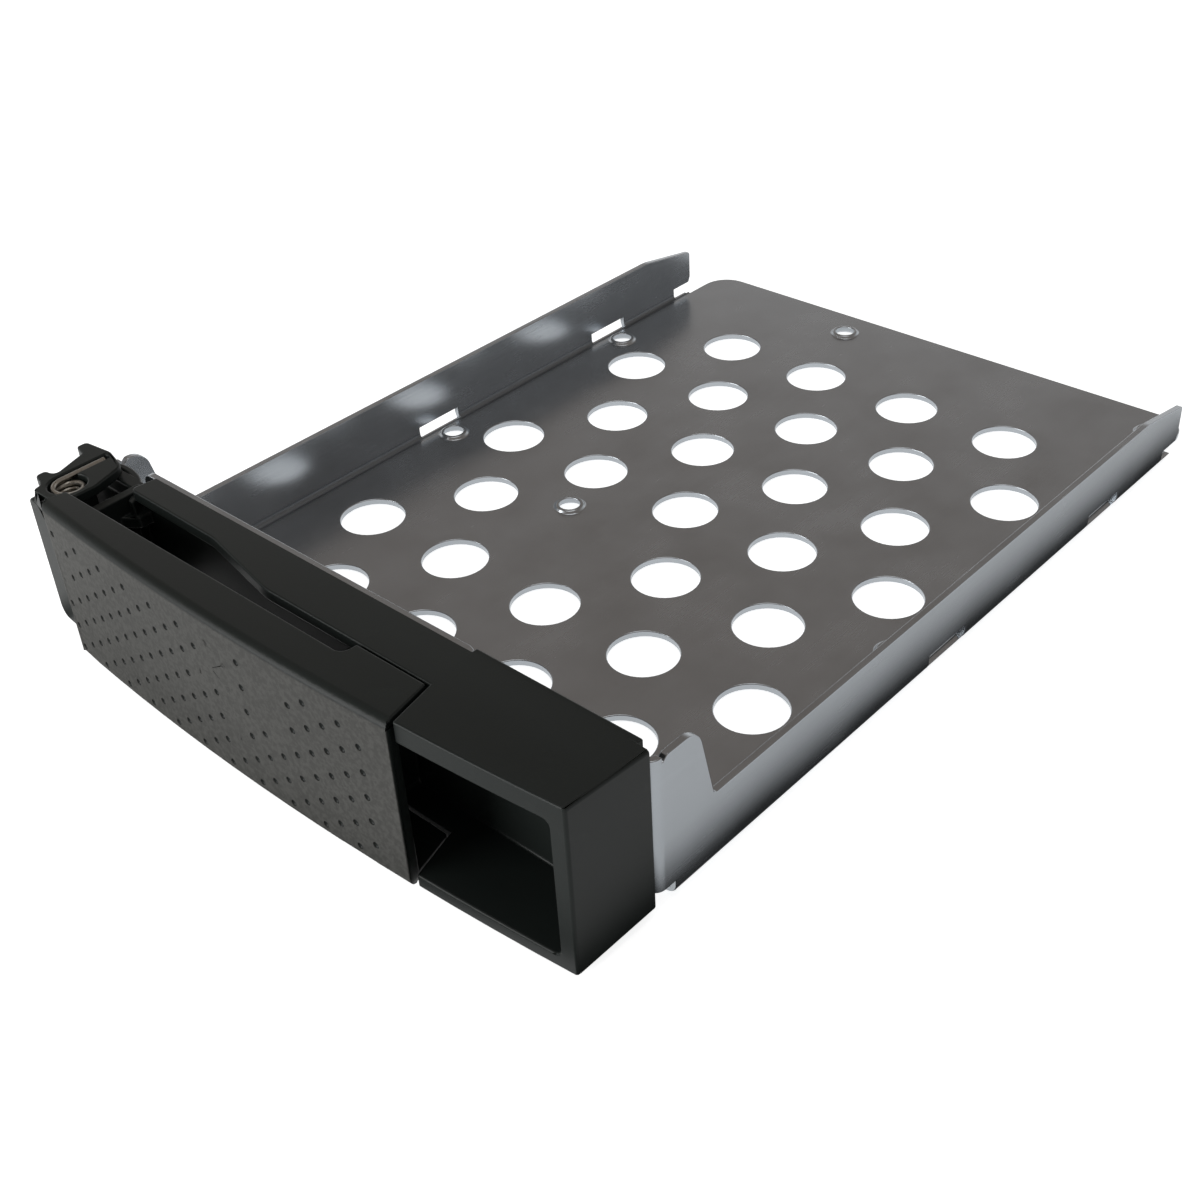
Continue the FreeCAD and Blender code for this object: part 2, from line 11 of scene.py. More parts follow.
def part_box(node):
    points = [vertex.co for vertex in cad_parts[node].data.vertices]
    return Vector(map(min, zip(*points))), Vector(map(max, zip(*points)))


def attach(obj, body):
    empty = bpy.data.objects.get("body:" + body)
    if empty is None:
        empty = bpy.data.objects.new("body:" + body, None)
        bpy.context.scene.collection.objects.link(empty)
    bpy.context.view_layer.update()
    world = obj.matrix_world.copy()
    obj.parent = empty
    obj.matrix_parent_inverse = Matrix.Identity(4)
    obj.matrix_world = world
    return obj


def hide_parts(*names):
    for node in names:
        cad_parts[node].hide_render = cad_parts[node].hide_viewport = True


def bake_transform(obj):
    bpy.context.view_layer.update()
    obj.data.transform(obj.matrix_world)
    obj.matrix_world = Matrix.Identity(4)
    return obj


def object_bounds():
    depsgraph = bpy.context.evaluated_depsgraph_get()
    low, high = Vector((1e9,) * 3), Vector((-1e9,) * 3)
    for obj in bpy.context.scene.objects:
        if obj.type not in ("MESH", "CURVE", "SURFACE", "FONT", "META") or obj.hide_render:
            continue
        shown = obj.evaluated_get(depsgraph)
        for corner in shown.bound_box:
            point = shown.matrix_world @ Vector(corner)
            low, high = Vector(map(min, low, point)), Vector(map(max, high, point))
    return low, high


bl_info = {
    "name": "Hot swap drive caddy",
    "version": (1, 0, 0),
    "blender": (4, 5, 0),
    "location": "3D View > Sidebar > Drive caddy",
    "description": "Builds the finished drive caddy on its packed frame",
    "category": "Object",
}

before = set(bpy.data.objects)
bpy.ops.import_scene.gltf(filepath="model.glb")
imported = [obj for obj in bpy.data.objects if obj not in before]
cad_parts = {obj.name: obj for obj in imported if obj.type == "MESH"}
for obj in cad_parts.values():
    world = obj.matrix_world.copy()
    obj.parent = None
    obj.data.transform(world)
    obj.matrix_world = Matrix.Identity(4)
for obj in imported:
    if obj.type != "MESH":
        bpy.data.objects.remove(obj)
cad_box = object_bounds()

# Places come from the frame. X runs to the right, Y to the rear and Z up, in metres.
MM = 0.001
MERGE = 0.000002                # loose corners nearer than this are one corner
SMOOTH = math.radians(32)       # edges sharper than this stay crisp or are bevelled
FLAT = math.radians(0.3)        # faces nearer than this to one plane become one face

LEVER_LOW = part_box("lever")[0]
PIN_LOW, PIN_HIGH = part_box("hinge_pin")
SPRING_LOW, SPRING_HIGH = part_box("lever_spring")
PIVOT = (PIN_LOW + PIN_HIGH) / 2
BOW_RADIUS = 0.5                # bow of the front moulding, seen from above
FACE_RADIUS = 0.5008            # bow of the lever's face about the same middle
BOW_MIDDLE = LEVER_LOW.y + FACE_RADIUS
FOLD_START, FOLD_END = 50.35 * MM, 51.15 * MM   # inner side of the two long folds, from the middle
SCREW_NODES = ("bezel_screw_1", "bezel_screw_2", "bezel_screw_3", "bezel_screw_4")
DOTS_ALONG, DOTS_UP = -10.45 * MM, 12.8 * MM    # middle of the dots on the lever's face
SPRING_STEPS = 90               # straight pieces in the wound part of the spring

BLUNT = math.radians(150)       # corners blunter than this take no room from a bevel
BEVEL_SHARE = 0.45              # share of the width beside an edge that a bevel may take
STRAY = 0.8                     # bevel corners this many widths off the surface go back to it
FRONTWARD = -0.985              # faces of the bow look more to the front than this
ON_BOW = 0.08 * MM              # corners nearer to the bow than this lie on it

ROOM_SWEEP = (1.0, 1.0, 1.0, 1)             # backdrop, as the eye and the steel see it
ROOM_CEILING = (0.288, 0.252, 0.226, 1)     # dim ceiling over it
ROOM_FILL = (0.27, 0.27, 0.27, 1)           # even light from all round
FLOOR_HALF, FLOOR_LEVEL = 4.0, -0.0004
SOFTBOXES = (                   # name, place, aim, width and watts
    ("Front_Softbox", (-0.45, -1.05, 0.28), (0, -0.09, 0.01), 0.8, 11.0),
    ("Top_Softbox", (0.15, -0.1, 1.1), (0, 0, 0), 0.7, 2.0))
LENS, SENSOR = 47.96, 36.0      # millimetres
CAMERA_PLACE = Matrix((
    (0.7413, -0.3641, 0.5639, 0.1395),
    (0.6694, 0.4621, -0.5817, -0.1812),
    (-0.0488, 0.8087, 0.5862, 0.1400),
    (0, 0, 0, 1)))


# ---------------------------------------------------------------- user settings

class CaddySizes(PropertyGroup):
    """Sizes of the finishing work"""

    sheet_edge: FloatProperty(
        name="Sheet edge", description="Width of the broken edge round the steel sheet",
        default=0.00012, unit="LENGTH")
    moulded_edge: FloatProperty(
        name="Moulded edge", description="Radius along the edges of the plastic mouldings",
        default=0.00028, unit="LENGTH")
    small_edge: FloatProperty(
        name="Small edge", description="Width of the broken edge on the pin and the screws",
        default=0.00008, unit="LENGTH")
    dot_columns: IntProperty(
        name="Dot columns", description="Upright columns of dots in each of the two sets on the lever",
        default=11, min=1)
    dot_rows: IntProperty(
        name="Dot rows", description="Dots in each column of the first set",
        default=6, min=2)
    dot_pitch_x: FloatProperty(
        name="Dot pitch along", description="Distance between neighbouring columns of dots",
        default=0.0031, unit="LENGTH")
    dot_pitch_z: FloatProperty(
        name="Dot pitch up", description="Distance between the dots of one column",
        default=0.0039, unit="LENGTH")
    dot_radius: FloatProperty(
        name="Dot radius", description="Radius of one dot where it meets the face",
        default=0.00052, unit="LENGTH")
    dot_depth: FloatProperty(
        name="Dot depth", description="How far a dot is sunk into the face",
        default=0.00032, unit="LENGTH")
    wire: FloatProperty(
        name="Spring wire", description="Diameter of the torsion spring's wire",
        default=0.0008, unit="LENGTH")
    spring_turns: FloatProperty(
        name="Spring turns", description="Turns of the torsion spring at rest",
        default=2.25)
    screw_head: FloatProperty(
        name="Screw head", description="Radius of a bezel screw's head",
        default=0.0022, unit="LENGTH")
    screw_shank: FloatProperty(
        name="Screw shank", description="Radius of a bezel screw's shank",
        default=0.0012, unit="LENGTH")
    screw_head_depth: FloatProperty(
        name="Screw head depth", description="Depth of a bezel screw's cone",
        default=0.001, unit="LENGTH")
    recess_arm: FloatProperty(
        name="Recess arm", description="Length of one arm of the cross recess",
        default=0.00135, unit="LENGTH")
    recess_width: FloatProperty(
        name="Recess width", description="Width of one arm of the cross recess",
        default=0.00052, unit="LENGTH")
    recess_depth: FloatProperty(
        name="Recess depth", description="Depth of the cross recess",
        default=0.0007, unit="LENGTH")


class CaddyFinishes(PropertyGroup):
    """Colours and gloss of the finishes"""

    steel: FloatVectorProperty(
        name="Pan steel", description="Colour of the zinc-plated sheet",
        subtype="COLOR", default=(0.375, 0.40, 0.425), min=0, max=1)
    steel_roughness: FloatProperty(
        name="Pan roughness", description="Roughness of the zinc-plated sheet",
        default=0.24, min=0, max=1, subtype="FACTOR")
    plastic: FloatVectorProperty(
        name="Black plastic", description="Colour of the two mouldings",
        subtype="COLOR", default=(0.0125, 0.0155, 0.0143), min=0, max=1)
    face_plastic: FloatVectorProperty(
        name="Face plastic", description="Colour of the textured face of the lever",
        subtype="COLOR", default=(0.078, 0.078, 0.073), min=0, max=1)
    plastic_roughness: FloatProperty(
        name="Plastic roughness", description="Roughness of the two mouldings",
        default=0.36, min=0, max=1, subtype="FACTOR")
    face_roughness: FloatProperty(
        name="Face roughness", description="Roughness of the textured face of the lever",
        default=0.55, min=0, max=1, subtype="FACTOR")
    wire_steel: FloatVectorProperty(
        name="Spring steel", description="Colour of the spring and the pin",
        subtype="COLOR", default=(0.30, 0.285, 0.255), min=0, max=1)
    screw_steel: FloatVectorProperty(
        name="Screw steel", description="Colour of the plated screws",
        subtype="COLOR", default=(0.48, 0.47, 0.45), min=0, max=1)
    floor: FloatProperty(
        name="Floor brightness", description="Colour of the floor, where 1 is white",
        default=0.8, min=0, max=1, subtype="FACTOR")


# ---------------------------------------------------------------- node helpers

def feed(tree, socket, value):
    """Links another node's output to a socket, or sets the socket's own value."""
    if isinstance(value, bpy.types.NodeSocket):
        tree.links.new(value, socket)
    else:
        socket.default_value = value


def new_node(tree, kind, inputs, settings):
    """One node of a tree, with its settings and with values or links for its inputs."""
    node = tree.nodes.new(kind)
    for key, value in settings.items():
        setattr(node, key, value)
    for key, value in (inputs or {}).items():
        feed(tree, node.inputs[key], value)
    return node


# ---------------------------------------------------------------- material helpers

class Shader:
    """Node tree of one material or of the world, with short ways to add to it."""

    def __init__(self, owner):
        owner.use_nodes = True
        self.tree = owner.node_tree
        self.tree.nodes.clear()

    def add(self, kind, inputs=None, **settings):
        return new_node(self.tree, kind, inputs, settings)

    def object_place(self, scale):
        """Object coordinates stretched by three numbers."""
        place = self.add("ShaderNodeTexCoord")
        return self.add("ShaderNodeMapping", {0: place.outputs["Object"], "Scale": scale}).outputs[0]

    def noise(self, place, scale, detail=3.0, roughness=0.55):
        return self.add("ShaderNodeTexNoise", {
            "Vector": place, "Scale": scale, "Detail": detail, "Roughness": roughness}).outputs["Fac"]

    def remap(self, value, low, high, to_low, to_high):
        """A value moved from one range to another, and held inside it."""
        return self.add("ShaderNodeMapRange", {
            "Value": value, "From Min": low, "From Max": high,
            "To Min": to_low, "To Max": to_high}).outputs[0]

    def math(self, operation, first, second):
        return self.add("ShaderNodeMath", {0: first, 1: second}, operation=operation).outputs[0]

    def mix(self, factor, first, second):
        node = self.add("ShaderNodeMix", data_type="RGBA")
        for place, value in ((0, factor), (6, first), (7, second)):
            feed(self.tree, node.inputs[place], value)
        return node.outputs[2]

    def thin_lines(self, place, scale, width):
        """Hair lines where a soft noise crosses its middle value."""
        away = self.math("ABSOLUTE", self.math("SUBTRACT", self.noise(place, scale, 1), 0.5), 0)
        return self.remap(away, 0, width, 1, 0)

    def bump(self, height, strength, distance, under=None):
        inputs = {"Height": height, "Strength": strength, "Distance": distance}
        if under is not None:
            inputs["Normal"] = under
        return self.add("ShaderNodeBump", inputs).outputs[0]


def rgba(colour, factor=1.0):
    return (colour[0] * factor, colour[1] * factor, colour[2] * factor, 1.0)


def rolled_steel(name, colour, roughness):
    """Zinc-plated sheet: rolling lines, a fine grain, cloudy gloss, light scratches, and painted shade that
    darkens and dulls the inner side of the folds.
    """
    material = bpy.data.materials.new(name)
    shader = Shader(material)
    even = shader.object_place((1, 1, 1))
    rolled = shader.object_place((1, 0.03, 1))
    clouds = shader.noise(even, 70, 4)
    grain = shader.noise(even, 5200, 2)
    lines = shader.noise(rolled, 2600, 3)
    drawn_out = shader.object_place((1, 0.02, 1))
    along = shader.thin_lines(drawn_out, 150, 0.004)
    across = shader.thin_lines(shader.object_place((0.03, 1, 1)), 90, 0.003)
    patches = shader.remap(shader.noise(even, 28, 2), 0.5, 0.62, 0, 1)
    worn = shader.math("MULTIPLY", shader.math("MAXIMUM", along, across), patches)
    tone = shader.mix(shader.remap(clouds, 0.3, 0.7, 0, 1), rgba(colour, 0.93), rgba(colour, 1.05))
    tone = shader.mix(shader.math("MULTIPLY", worn, 0.12), tone, rgba(colour, 1.3))
    spot = shader.add("ShaderNodeSeparateXYZ", {0: even}).outputs
    aside = shader.math("ABSOLUTE", spot["X"], 0)
    # Painted shade: colour darkened along the inside of the two long folds, where the fold shades itself,
    # with the roughness raised there.
    fold = shader.math(
        "MULTIPLY", shader.remap(aside, FOLD_START - 0.3 * MM, FOLD_START + 0.3 * MM, 0, 1),
        shader.remap(spot["Z"], 1.5 * MM, 2.1 * MM, 1, 0))
    inside = shader.math(
        "MULTIPLY", shader.remap(aside, FOLD_END, FOLD_END + 0.1 * MM, 1, 0),
        shader.remap(spot["Z"], 0.9 * MM, 1.0 * MM, 0, 1))
    painted_fold_shade = shader.math("MULTIPLY", fold, inside)
    # Painted shade of the inner folds, laid into the sheet's colour.
    tone = shader.mix(shader.math("MULTIPLY", painted_fold_shade, 0.75), tone, rgba(colour, 0.2))
    gloss = shader.remap(clouds, 0.3, 0.7, roughness - 0.035, roughness + 0.045)
    gloss = shader.math("ADD", gloss, shader.math("MULTIPLY", painted_fold_shade, 0.3))
    gloss = shader.math("ADD", gloss, shader.remap(lines, 0.3, 0.7, -0.02, 0.02))
    relief = shader.bump(lines, 0.10, 0.00002)
    relief = shader.bump(grain, 0.05, 0.00001, relief)
    surface = shader.add("ShaderNodeBsdfPrincipled", {
        "Base Color": tone, "Metallic": 1.0, "Roughness": gloss, "Normal": relief})
    surface.inputs["Anisotropic"].default_value = 0.25
    shader.add("ShaderNodeOutputMaterial", {"Surface": surface.outputs[0]})
    return material


def moulded_plastic(name, colour, roughness, pad=None):
    """Black plastic from a spark-eroded mould, with soft flow marks and a little handling wear.

    A pad, given as a colour and a roughness, is the coarser finish of the lever's bowed face.
    """
    material = bpy.data.materials.new(name)
    shader = Shader(material)
    even = shader.object_place((1, 1, 1))
    flow = shader.object_place((0.25, 1, 1))
    grain = shader.noise(even, 3800, 2, 0.5)
    fine = shader.noise(even, 9500, 2, 0.5)
    clouds = shader.remap(shader.noise(flow, 55, 3), 0.3, 0.7, 0, 1)
    rubs = shader.remap(shader.noise(even, 160, 5, 0.65), 0.62, 0.74, 0, 1)
    tone = shader.mix(clouds, rgba(colour, 0.86), rgba(colour, 1.12))
    tone = shader.mix(shader.math("MULTIPLY", rubs, 0.35), tone, rgba(colour, 1.5))
    gloss = shader.remap(clouds, 0, 1, roughness - 0.03, roughness + 0.04)
    gloss = shader.math("SUBTRACT", gloss, shader.math("MULTIPLY", rubs, 0.06))
    relief = shader.bump(grain, 0.30, 0.00002)
    relief = shader.bump(fine, 0.20, 0.000007, relief)
    if pad:
        pad_colour, pad_roughness = pad
        place = shader.add("ShaderNodeSeparateXYZ", {0: even}).outputs
        behind = shader.math("SUBTRACT", place["Y"], BOW_MIDDLE)
        square = shader.math(
            "ADD", shader.math("MULTIPLY", place["X"], place["X"]), shader.math("MULTIPLY", behind, behind))
        outermost = shader.remap(
            shader.math("SQRT", square, 0), FACE_RADIUS - 0.12 * MM, FACE_RADIUS - 0.04 * MM, 0, 1)
        pores = shader.remap(shader.noise(even, 1500, 2, 0.6), 0.4, 0.62, 1, 0)
        coarse = shader.mix(clouds, rgba(pad_colour, 0.86), rgba(pad_colour, 1.12))
        coarse = shader.mix(shader.math("MULTIPLY", pores, 0.45), coarse, rgba(pad_colour, 0.35))
        tone = shader.mix(outermost, tone, coarse)
        gloss = shader.math("ADD", gloss, shader.math("MULTIPLY", outermost, pad_roughness - roughness))
        relief = shader.bump(shader.math("MULTIPLY", pores, outermost), 0.25, -0.00002, relief)
    surface = shader.add("ShaderNodeBsdfPrincipled", {
        "Base Color": tone, "Roughness": gloss, "Normal": relief})
    surface.inputs["IOR"].default_value = 1.5
    surface.inputs["Specular IOR Level"].default_value = 0.16
    shader.add("ShaderNodeOutputMaterial", {"Surface": surface.outputs[0]})
    return material


def drawn_steel(name, colour, roughness):
    """Bright plated wire and screws: a fine grain with duller patches where the plating has aged."""
    material = bpy.data.materials.new(name)
    shader = Shader(material)
    even = shader.object_place((1, 1, 1))
    grain = shader.noise(even, 9000, 2)
    patches = shader.noise(even, 900, 4)
    dull = shader.remap(patches, 0.5, 0.72, 0, 1)
    tone = shader.mix(dull, rgba(colour, 1.06), rgba(colour, 0.72))
    gloss = shader.remap(patches, 0.3, 0.7, roughness - 0.06, roughness + 0.08)
    relief = shader.bump(grain, 0.12, 0.00001)
    surface = shader.add("ShaderNodeBsdfPrincipled", {
        "Base Color": tone, "Metallic": 1.0, "Roughness": gloss, "Normal": relief})
    shader.add("ShaderNodeOutputMaterial", {"Surface": surface.outputs[0]})
    return material


def studio_floor(name, brightness):
    """Pale floor that shows white and keeps a soft shadow; for the steel's reflections it has a painted
    shadow round the object and a painted glow under it.
    """
    material = bpy.data.materials.new(name)
    shader = Shader(material)
    path = shader.add("ShaderNodeLightPath")
    seen = shader.math("MAXIMUM", path.outputs["Is Camera Ray"], path.outputs["Is Transmission Ray"])
    seen = shader.math("MULTIPLY", seen, 0.8)
    place = shader.add("ShaderNodeSeparateXYZ", {0: shader.object_place((1, 1, 1))})
    gaps = []
    for axis in (0, 1):
        middle, half = (cad_box[0][axis] + cad_box[1][axis]) / 2, (cad_box[1][axis] - cad_box[0][axis]) / 2
        away = shader.math("ABSOLUTE", shader.math("SUBTRACT", place.outputs[axis], middle), 0)
        gaps.append(shader.math("SUBTRACT", away, half))
    gap = shader.math("MAXIMUM", *gaps)
    # Glow the steel reflects: an even 0.45 round the object, raised to a painted 0.75 under it, where the
    # floor lies in the object's shadow.
    painted_reflection_glow = shader.math(
        "MULTIPLY", path.outputs["Is Glossy Ray"], shader.remap(gap, -1 * MM, 0, 0.75, 0.45))
    speckle = shader.noise(shader.object_place((1, 1, 1)), 30, 3)
    tone = shader.mix(speckle, rgba((brightness,) * 3, 0.985), rgba((brightness,) * 3))
    matt = shader.add("ShaderNodeBsdfDiffuse", {"Color": tone})
    glow = shader.add("ShaderNodeEmission", {
        "Color": (1, 1, 1, 1), "Strength": shader.math("ADD", seen, painted_reflection_glow)})
    both = shader.add("ShaderNodeAddShader", {0: matt.outputs[0], 1: glow.outputs[0]})
    # Painted shadow: for rays the steel reflects, the floor fades towards black in a band up to 7 mm round
    # the object, deepest within 2 mm of it.
    painted_shadow = shader.math(
        "MULTIPLY", shader.remap(gap, -1 * MM, 0, 0, 1), shader.remap(gap, 2 * MM, 7 * MM, 0.95, 0))
    painted_shadow = shader.math("MULTIPLY", painted_shadow, path.outputs["Is Glossy Ray"])
    dark = shader.add("ShaderNodeBsdfDiffuse", {"Color": (0, 0, 0, 1)})
    surface = shader.add("ShaderNodeMixShader", {0: painted_shadow, 1: both.outputs[0], 2: dark.outputs[0]})
    shader.add("ShaderNodeOutputMaterial", {"Surface": surface.outputs[0]})
    return material


def studio_world(sweep, ceiling, fill):
    """Soft room: the eye and the steel see a white sweep under a dim ceiling, the rest an even fill."""
    world = bpy.data.worlds.new("Studio_Room")
    shader = Shader(world)
    path = shader.add("ShaderNodeLightPath")
    seen = shader.math("MAXIMUM", path.outputs["Is Camera Ray"], path.outputs["Is Glossy Ray"])
    seen = shader.math("MAXIMUM", seen, path.outputs["Is Transmission Ray"])
    place = shader.add("ShaderNodeTexCoord")
    height = shader.add("ShaderNodeSeparateXYZ", {0: place.outputs["Generated"]}).outputs["Z"]
    rise = shader.remap(height, 0.12, 0.50, 0, 1)
    tone = shader.mix(seen, fill, shader.mix(rise, sweep, ceiling))
    light = shader.add("ShaderNodeBackground", {"Color": tone, "Strength": 1.0})
    shader.add("ShaderNodeOutputWorld", {"Surface": light.outputs[0]})
    return world


# ---------------------------------------------------------------- mesh helpers

def show(name, mesh, material=None):
    """An object of this mesh in the scene."""
    made = bpy.data.objects.new(name, mesh)
    bpy.context.scene.collection.objects.link(made)
    if material is not None:
        mesh.materials.clear()
        mesh.materials.append(material)
    return made


def merged_copy(node, name, material):
    """Copy of a CAD node with its loose triangles joined into clean faces."""
    work = bmesh.new()
    work.from_mesh(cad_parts[node].data)
    bmesh.ops.remove_doubles(work, verts=work.verts, dist=MERGE)
    bmesh.ops.dissolve_degenerate(work, edges=work.edges, dist=MERGE)
    bmesh.ops.dissolve_limit(work, angle_limit=FLAT, verts=work.verts, edges=work.edges)
    mesh = bpy.data.meshes.new(name)
    work.to_mesh(mesh)
    work.free()
    made = show(name, mesh, material)
    smooth(mesh)
    return made


def smooth(mesh):
    """Smooth shading with crisp edges where the faces turn sharply."""
    mesh.shade_smooth()
    mesh.set_sharp_from_angle(angle=SMOOTH)


def free_width(edge):
    """Less than half the width left for a bevel beside a sharp edge, at its tightest corner."""
    widths = [1.0]
    for corner in edge.verts:
        ahead = edge.other_vert(corner).co - corner.co
        for face in edge.link_faces:
            beside = next(line for line in face.edges if line is not edge and corner in line.verts)
            aside = beside.other_vert(corner).co - corner.co
            turn = ahead.angle(aside, 0)
            if beside.smooth or turn < BLUNT:
                widths.append(aside.length * math.sin(turn) * BEVEL_SHARE)
    return min(widths)


def break_edges(piece, width, segments, name):
    """Small bevel along every sharp edge outside the dots, narrower where there is little room for it."""
    shape = bmesh.new()
    shape.from_mesh(piece.data)
    weights = shape.edges.layers.float.new("bevel_weight_edge")
    dots = shape.faces.layers.bool.get("in_dot")
    for edge in shape.edges:
        edge.smooth = edge.calc_face_angle(0) < SMOOTH
    for edge in shape.edges:
        if not edge.smooth and not (dots and any(face[dots] for face in edge.link_faces)):
            edge[weights] = min(1, free_width(edge) / width)
    shape.to_mesh(piece.data)
    surface = BVHTree.FromBMesh(shape)
    shape.free()
    bevel = piece.modifiers.new("Broken edges", "BEVEL")
    bevel.width = width
    bevel.segments = segments
    bevel.limit_method = "WEIGHT"
    bevel.use_clamp_overlap = False
    piece = plain_mesh(piece, name + "_Bevelled")
    shape = bmesh.new()
    shape.from_mesh(piece.data)
    for vertex in shape.verts:
        nearest, _, _, distance = surface.find_nearest(vertex.co)
        if distance > width * STRAY:
            vertex.co = nearest
    bmesh.ops.remove_doubles(shape, verts=shape.verts, dist=MERGE)
    bmesh.ops.dissolve_degenerate(shape, edges=shape.edges, dist=MERGE)
    bmesh.ops.triangulate(shape, faces=[face for face in shape.faces if len(face.verts) > 4])
    shape.to_mesh(piece.data)
    shape.free()
    weighting = piece.modifiers.new("Even shading", "WEIGHTED_NORMAL")
    weighting.keep_sharp = True
    weighting.weight = 100
    return plain_mesh(piece, name)


def plain_mesh(piece, name):
    """The evaluated shape of a piece as a plain mesh object that takes its place."""
    ready = piece.evaluated_get(bpy.context.evaluated_depsgraph_get())
    mesh = bpy.data.meshes.new_from_object(ready)
    mesh.name = name
    bpy.data.objects.remove(piece)
    return show(name, mesh)


def bow_shading(mesh, radius):
    """True normals on the upright bowed front."""
    normals = [normal.vector.copy() for normal in mesh.corner_normals]
    for face in mesh.polygons:
        outward = [Vector((mesh.vertices[corner].co.x, mesh.vertices[corner].co.y - BOW_MIDDLE, 0))
                   for corner in face.vertices]
        if face.normal.y < FRONTWARD and all(abs(line.length - radius) < ON_BOW for line in outward):
            for loop, line in zip(face.loop_indices, outward):
                normals[loop] = line.normalized()
    mesh.normals_split_custom_set(normals)


class NodeTree:
    """Geometry Nodes tree with named inputs, built one node at a time."""

    def __init__(self, name, sizes):
        self.tree = bpy.data.node_groups.new(name, "GeometryNodeTree")
        face = self.tree.interface
        face.new_socket("Geometry", in_out="OUTPUT", socket_type="NodeSocketGeometry")
        face.new_socket("Geometry", in_out="INPUT", socket_type="NodeSocketGeometry")
        self.identifiers = {}
        for label, kind in sizes:
            socket = face.new_socket(label, in_out="INPUT", socket_type=kind)
            self.identifiers[label] = socket.identifier
        self.inlet = self.tree.nodes.new("NodeGroupInput")
        self.outlet = self.tree.nodes.new("NodeGroupOutput")

    def size(self, label):
        return self.inlet.outputs[label]

    def add(self, kind, inputs=None, **settings):
        return new_node(self.tree, kind, inputs, settings)

    def math(self, operation, first, second=0.0):
        return self.add("ShaderNodeMath", {0: first, 1: second}, operation=operation).outputs[0]

    def vector(self, x=0.0, y=0.0, z=0.0):
        return self.add("ShaderNodeCombineXYZ", {"X": x, "Y": y, "Z": z}).outputs[0]

    def finish(self, geometry):
        """Realised instances with one material, at the outlet."""
        real = self.add("GeometryNodeRealizeInstances", {0: geometry}).outputs[0]
        done = self.add("GeometryNodeSetMaterial", {
            "Geometry": real, "Material": self.size("Finish")}).outputs[0]
        self.tree.links.new(done, self.outlet.inputs[0])

    def put_on(self, piece, values):
        """Adds the tree to a piece with a value for each named input."""
        modifier = piece.modifiers.new(self.tree.name, "NODES")
        modifier.node_group = self.tree
        for label, value in values.items():
            modifier[self.identifiers[label]] = value
        piece.update_tag()


# ---------------------------------------------------------------- node trees

def dotted_face_tree():
    """Sinks two staggered sets of round dots into the bowed front of the lever."""
    tree = NodeTree("Dotted_Face", (
        ("Columns", "NodeSocketInt"), ("Rows", "NodeSocketInt"),
        ("Pitch along", "NodeSocketFloat"), ("Pitch up", "NodeSocketFloat"),
        ("Middle along", "NodeSocketFloat"), ("Middle up", "NodeSocketFloat"),
        ("Foremost", "NodeSocketFloat"), ("Bow radius", "NodeSocketFloat"),
        ("Dot radius", "NodeSocketFloat"), ("Dot depth", "NodeSocketFloat"),
        ("Finish", "NodeSocketMaterial")))
    sets = []
    for side, fewer in ((-1, 0), (1, 1)):
        rows = tree.math("SUBTRACT", tree.size("Rows"), fewer)
        wide = tree.math("MULTIPLY", tree.size("Pitch along"),
                         tree.math("MULTIPLY", tree.math("SUBTRACT", tree.size("Columns"), 1), 2))
        tall = tree.math("MULTIPLY", tree.size("Pitch up"), tree.math("SUBTRACT", rows, 1))
        grid = tree.add("GeometryNodeMeshGrid", {
            "Size X": wide, "Size Y": tall, "Vertices X": tree.size("Columns"), "Vertices Y": rows})
        shift = tree.vector(x=tree.math("MULTIPLY", tree.size("Pitch along"), side / 2))
        sets.append(tree.add("GeometryNodeTransform", {
            "Geometry": grid.outputs["Mesh"], "Translation": shift}).outputs[0])
    both = tree.add("GeometryNodeJoinGeometry")
    for points in sets:
        tree.tree.links.new(points, both.inputs[0])
    place = tree.add("GeometryNodeInputPosition").outputs[0]
    parts = tree.add("ShaderNodeSeparateXYZ", {0: place})
    along = tree.math("ADD", parts.outputs["X"], tree.size("Middle along"))
    up = tree.math("ADD", parts.outputs["Y"], tree.size("Middle up"))
    drop = tree.math("SQRT", tree.math(
        "SUBTRACT", tree.math("POWER", tree.size("Bow radius"), 2), tree.math("POWER", along, 2)))
    back = tree.math("ADD", tree.size("Foremost"), tree.math("SUBTRACT", tree.size("Bow radius"), drop))
    placed = tree.add("GeometryNodeSetPosition", {
        "Geometry": both.outputs[0], "Position": tree.vector(along, back, up)}).outputs[0]
    ball = tree.add("GeometryNodeMeshUVSphere", {"Segments": 12, "Rings": 8, "Radius": 1.0}).outputs[0]
    squash = tree.vector(tree.size("Dot radius"), tree.size("Dot depth"), tree.size("Dot radius"))
    pressed = tree.add("GeometryNodeTransform", {"Geometry": ball, "Scale": squash}).outputs[0]
    dots = tree.add("GeometryNodeInstanceOnPoints", {"Points": placed, "Instance": pressed}).outputs[0]
    solid = tree.add("GeometryNodeRealizeInstances", {0: dots}).outputs[0]
    solid = tree.add("GeometryNodeStoreNamedAttribute", {
        "Geometry": solid, "Name": "in_dot", "Value": True}, data_type="BOOLEAN", domain="FACE").outputs[0]
    cut = tree.add("GeometryNodeMeshBoolean", operation="DIFFERENCE", solver="EXACT")
    cut.inputs["Self Intersection"].default_value = True
    tree.tree.links.new(tree.inlet.outputs["Geometry"], cut.inputs["Mesh 1"])
    tree.tree.links.new(solid, cut.inputs["Mesh 2"])
    tree.finish(cut.outputs["Mesh"])
    return tree


